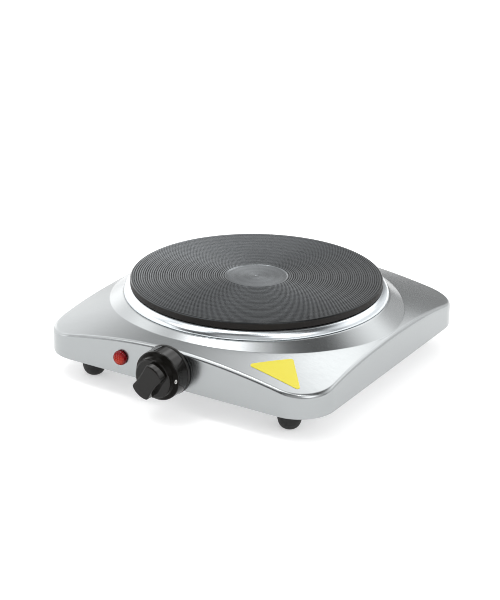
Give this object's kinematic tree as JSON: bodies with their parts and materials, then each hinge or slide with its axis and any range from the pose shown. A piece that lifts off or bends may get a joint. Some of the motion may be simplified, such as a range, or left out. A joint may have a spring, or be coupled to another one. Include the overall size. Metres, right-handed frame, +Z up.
{
  "type": "hot plate burner",
  "caption": "Table-top electric cooker: square pressed steel housing on rubber feet, round cast iron plate with a polished ring, rotary heat control and pilot lamp.",
  "frame": {"origin": "centre of the object's footprint at the bottom of the feet, at the middle of its whole width and depth with the knob and the cable gland", "axes": "+Z up, away from the surface it stands on; -Y towards the front with the knob; +X to the right seen from the front"},
  "size_m": [0.2278, 0.2592, 0.0643],
  "materials": {
    "stainless": "satin brushed",
    "polished_steel": "polished",
    "cast_iron": "fine concentric turning",
    "zinc_steel": "zinc plated",
    "rubber": "matt",
    "black_gloss": "gloss",
    "black_matte": "satin",
    "red_lens": "clear prismatic",
    "label_yellow": "satin printed film",
    "ceramic": "unglazed steatite",
    "mineral_board": "matt fibrous",
    "brass": "bright",
    "lamp_glass": "clear",
    "heating_wire": "oxidised",
    "lead_brown": "silicone",
    "lead_blue": "silicone",
    "lead_green": "silicone",
    "lead_white": "glass braid"
  },
  "bodies": {
    "body": {"top_housing": "stainless", "base_plate": "zinc_steel", "bottom_strap_left": "zinc_steel", "bottom_strap_right": "zinc_steel", "foot_front_left": "rubber", "foot_screw_front_left": "zinc_steel", "foot_nut_front_left": "zinc_steel", "foot_front_right": "rubber", "foot_screw_front_right": "zinc_steel", "foot_nut_front_right": "zinc_steel", "foot_rear_left": "rubber", "foot_screw_rear_left": "zinc_steel", "foot_nut_rear_left": "zinc_steel", "foot_rear_right": "rubber", "foot_screw_rear_right": "zinc_steel", "foot_nut_rear_right": "zinc_steel", "hot_plate": "cast_iron", "trim_ring": "polished_steel", "heating_coil_outer": "heating_wire", "heating_coil_inner": "heating_wire", "insulation_pad": "mineral_board", "element_cover": "zinc_steel", "center_stud": "zinc_steel", "mounting_bracket": "zinc_steel", "stud_washer": "zinc_steel", "stud_nut": "zinc_steel", "element_terminal_block": "ceramic", "element_pin_line": "zinc_steel", "element_pin_neutral": "zinc_steel", "thermostat_bracket": "zinc_steel", "thermostat_screw_left": "zinc_steel", "thermostat_screw_right": "zinc_steel", "shaft_bushing": "brass", "ceramic_spacer_front": "ceramic", "ceramic_spacer_middle": "ceramic", "ceramic_spacer_rear": "ceramic", "stack_rivet": "zinc_steel", "line_terminal": "brass", "fixed_contact_blade": "brass", "bimetal_blade": "zinc_steel", "knob_bezel": "black_matte", "pilot_lens": "red_lens", "neon_bulb": "lamp_glass", "lamp_clip": "zinc_steel", "cable_gland": "black_matte", "mains_terminal_block": "ceramic", "mains_block_screw": "zinc_steel", "earth_screw": "zinc_steel", "lead_live": "lead_brown", "lead_load": "lead_white", "lead_neutral": "lead_blue", "lead_earth": "lead_green", "lead_lamp_a": "lead_white", "lead_lamp_b": "lead_blue", "blank_label": "label_yellow"},
    "dial": {"knob": "black_gloss", "thermostat_shaft": "brass"},
    "plunger": {"adjusting_plunger": "ceramic"},
    "arm": {"contact_arm": "brass"}
  },
  "joints": [
    {"name": "knob_turn", "type": "hinge", "parent": "body", "child": "dial", "pos_m": [-0.0006, -0.10331, 0.0314], "axis": [0, 1, 0], "range_deg": [0, 280]},
    {"name": "plunger_slide", "type": "slide", "parent": "body", "child": "plunger", "axis": [0, 1, 0], "range_m": [-0.0001, 0.0009]},
    {"name": "contact_arm_flex", "type": "hinge", "parent": "body", "child": "arm", "pos_m": [0.0294, -0.0927, 0.0314], "axis": [0, 0, -1], "range_deg": [-0.2, 1.7]}
  ],
  "couplings": [
    {"joint": "plunger_slide", "follows": "knob_turn", "m_per_rad": 0.00016},
    {"joint": "contact_arm_flex", "follows": "knob_turn", "ratio": 0.00533}
  ]
}
